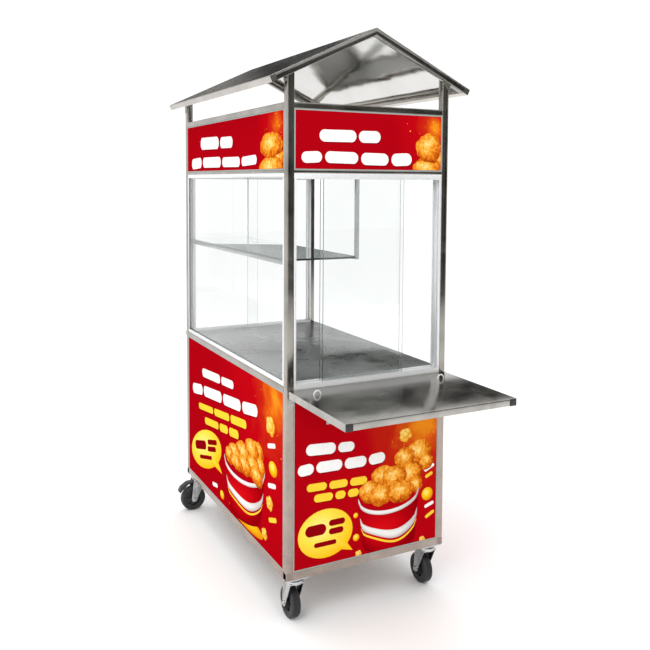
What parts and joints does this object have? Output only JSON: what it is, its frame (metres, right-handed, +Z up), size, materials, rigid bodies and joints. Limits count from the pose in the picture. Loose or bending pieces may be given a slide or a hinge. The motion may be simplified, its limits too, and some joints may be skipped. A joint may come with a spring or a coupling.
{
  "type": "push vending cart",
  "caption": "Push-along food vending cart: red panelled cabinet on swivel casters, glazed display case, gabled metal roof, folding flap",
  "frame": {"origin": "on the ground, under the middle of the whole box, flap and handle included", "axes": "+X along the short front, to the right when facing it; +Y back along the long side; +Z up"},
  "size_m": [0.738, 1.485, 1.911],
  "materials": {
    "frame_steel": "satin brown-grey coated steel tube",
    "roof_steel": "bright polished stainless",
    "red_panel": "semi-gloss red print on plastic-faced panel",
    "gasket": "pale green soft edging",
    "worktop_steel": "brushed stainless, cloudy",
    "track_aluminium": "satin anodised",
    "clear_glass": "clear float glass, ground edges",
    "shelf_steel": "brushed stainless",
    "handle_steel": "polished stainless",
    "flap_steel": "polished stainless",
    "flap_dark": "dark mirror polished stainless",
    "black_plastic": "moulded black",
    "hinge_steel": "satin steel",
    "pull_metal": "satin steel",
    "caster_zinc": "bright zinc plate",
    "hub_plastic": "moulded black",
    "tyre_rubber": "satin black solid rubber"
  },
  "bodies": {
    "root": {"base_rails": "frame_steel", "cabinet_door_tracks": "track_aluminium", "cabinet_floor": "worktop_steel", "caster_plates": "caster_zinc", "corner_posts": "frame_steel", "counter_rails": "frame_steel", "flap_hinge_fixed_leaves": "hinge_steel", "flap_pins": "hinge_steel", "frame_screws": "hinge_steel", "front_panel": "red_panel", "front_tracks": "track_aluminium", "header_rails": "frame_steel", "left_panel": "red_panel", "panel_gaskets": "gasket", "push_handle": "handle_steel", "rear_panel": "red_panel", "rear_tracks": "track_aluminium", "roof_bars": "roof_steel", "roof_brackets": "frame_steel", "roof_rafters": "roof_steel", "roof_sheet_left": "roof_steel", "roof_sheet_right": "roof_steel", "shelf_glass": "clear_glass", "shelf_supports": "shelf_steel", "side_glass": "clear_glass", "side_glass_channels": "track_aluminium", "sign_panels": "red_panel", "stay_straps": "hinge_steel", "worktop": "worktop_steel"},
    "flap": {"flap_frame": "flap_steel", "flap_tray": "flap_dark", "flap_end_plugs": "black_plastic", "flap_hinge_moving_leaves": "hinge_steel", "flap_stay_rails": "hinge_steel"},
    "stay_left": {"flap_stay_left": "hinge_steel"},
    "stay_right": {"flap_stay_right": "hinge_steel"},
    "front_pane_outer": {"front_pane_outer": "clear_glass"},
    "front_pane_inner": {"front_pane_inner": "clear_glass"},
    "rear_pane_outer": {"rear_pane_outer": "clear_glass"},
    "rear_pane_inner": {"rear_pane_inner": "clear_glass"},
    "door_front": {"cabinet_door_front": "red_panel", "cabinet_door_pull_front": "pull_metal"},
    "door_rear": {"cabinet_door_rear": "red_panel", "cabinet_door_pull_rear": "pull_metal"},
    "fork_front_left": {"caster_fork_front_left": "caster_zinc"},
    "wheel_front_left": {"caster_hub_front_left": "hub_plastic", "caster_tyre_front_left": "tyre_rubber"},
    "fork_front_right": {"caster_fork_front_right": "caster_zinc"},
    "wheel_front_right": {"caster_hub_front_right": "hub_plastic", "caster_tyre_front_right": "tyre_rubber"},
    "fork_rear_left": {"caster_fork_rear_left": "caster_zinc"},
    "wheel_rear_left": {"caster_hub_rear_left": "hub_plastic", "caster_tyre_rear_left": "tyre_rubber"},
    "pedal_rear_left": {"brake_pedal_rear_left": "black_plastic"},
    "fork_rear_right": {"caster_fork_rear_right": "caster_zinc"},
    "wheel_rear_right": {"caster_hub_rear_right": "hub_plastic", "caster_tyre_rear_right": "tyre_rubber"},
    "pedal_rear_right": {"brake_pedal_rear_right": "black_plastic"}
  },
  "joints": [
    {"name": "flap_fold", "type": "hinge", "parent": "root", "child": "flap", "pos_m": [0, -0.3685, 0.743], "axis": [1, 0, 0], "range_deg": [0, 90]},
    {"name": "stay_left_turn", "type": "hinge", "parent": "root", "child": "stay_left", "pos_m": [-0.143, -0.3755, 0.659], "axis": [1, 0, 0], "range_deg": [0, 128.59]},
    {"name": "stay_right_turn", "type": "hinge", "parent": "root", "child": "stay_right", "pos_m": [0.143, -0.3755, 0.659], "axis": [1, 0, 0], "range_deg": [0, 128.59]},
    {"name": "front_pane_outer_slide", "type": "slide", "parent": "root", "child": "front_pane_outer", "axis": [1, 0, 0], "range_m": [-0.102, 0.142]},
    {"name": "front_pane_inner_slide", "type": "slide", "parent": "root", "child": "front_pane_inner", "axis": [1, 0, 0], "range_m": [-0.102, 0.142]},
    {"name": "rear_pane_outer_slide", "type": "slide", "parent": "root", "child": "rear_pane_outer", "axis": [1, 0, 0], "range_m": [0, 0.244]},
    {"name": "rear_pane_inner_slide", "type": "slide", "parent": "root", "child": "rear_pane_inner", "axis": [1, 0, 0], "range_m": [-0.244, 0]},
    {"name": "door_front_slide", "type": "slide", "parent": "root", "child": "door_front", "axis": [0, 1, 0], "range_m": [0, 0.483]},
    {"name": "door_rear_slide", "type": "slide", "parent": "root", "child": "door_rear", "axis": [0, 1, 0], "range_m": [-0.483, 0]},
    {"name": "caster_swivel_front_left", "type": "hinge", "parent": "root", "child": "fork_front_left", "pos_m": [-0.256, -0.3325, 0.15], "axis": [0, 0, 1], "continuous": true},
    {"name": "caster_wheel_front_left", "type": "hinge", "parent": "fork_front_left", "child": "wheel_front_left", "pos_m": [-0.256, -0.3025, 0.052], "axis": [-1, 0, 0], "continuous": true},
    {"name": "caster_swivel_front_right", "type": "hinge", "parent": "root", "child": "fork_front_right", "pos_m": [0.256, -0.3325, 0.15], "axis": [0, 0, 1], "continuous": true},
    {"name": "caster_wheel_front_right", "type": "hinge", "parent": "fork_front_right", "child": "wheel_front_right", "pos_m": [0.256, -0.3025, 0.052], "axis": [-1, 0, 0], "continuous": true},
    {"name": "caster_swivel_rear_left", "type": "hinge", "parent": "root", "child": "fork_rear_left", "pos_m": [-0.256, 0.6535, 0.15], "axis": [0, 0, 1], "continuous": true},
    {"name": "caster_wheel_rear_left", "type": "hinge", "parent": "fork_rear_left", "child": "wheel_rear_left", "pos_m": [-0.286, 0.6535, 0.052], "axis": [0, -1, 0], "continuous": true},
    {"name": "brake_pedal_rear_left", "type": "hinge", "parent": "fork_rear_left", "child": "pedal_rear_left", "pos_m": [-0.282, 0.6535, 0.122], "axis": [0, -1, 0], "range_deg": [0, 9]},
    {"name": "caster_swivel_rear_right", "type": "hinge", "parent": "root", "child": "fork_rear_right", "pos_m": [0.256, 0.6535, 0.15], "axis": [0, 0, 1], "continuous": true},
    {"name": "caster_wheel_rear_right", "type": "hinge", "parent": "fork_rear_right", "child": "wheel_rear_right", "pos_m": [0.27321, 0.67807, 0.052], "axis": [-0.8192, 0.5736, 0], "continuous": true},
    {"name": "brake_pedal_rear_right", "type": "hinge", "parent": "fork_rear_right", "child": "pedal_rear_right", "pos_m": [0.27091, 0.6748, 0.122], "axis": [-0.8192, 0.5736, 0], "range_deg": [0, 9]}
  ],
  "couplings": [
    {"joint": "stay_left_turn", "follows": "flap_fold", "ratio": 1.4287},
    {"joint": "stay_right_turn", "follows": "flap_fold", "ratio": 1.4287}
  ]
}
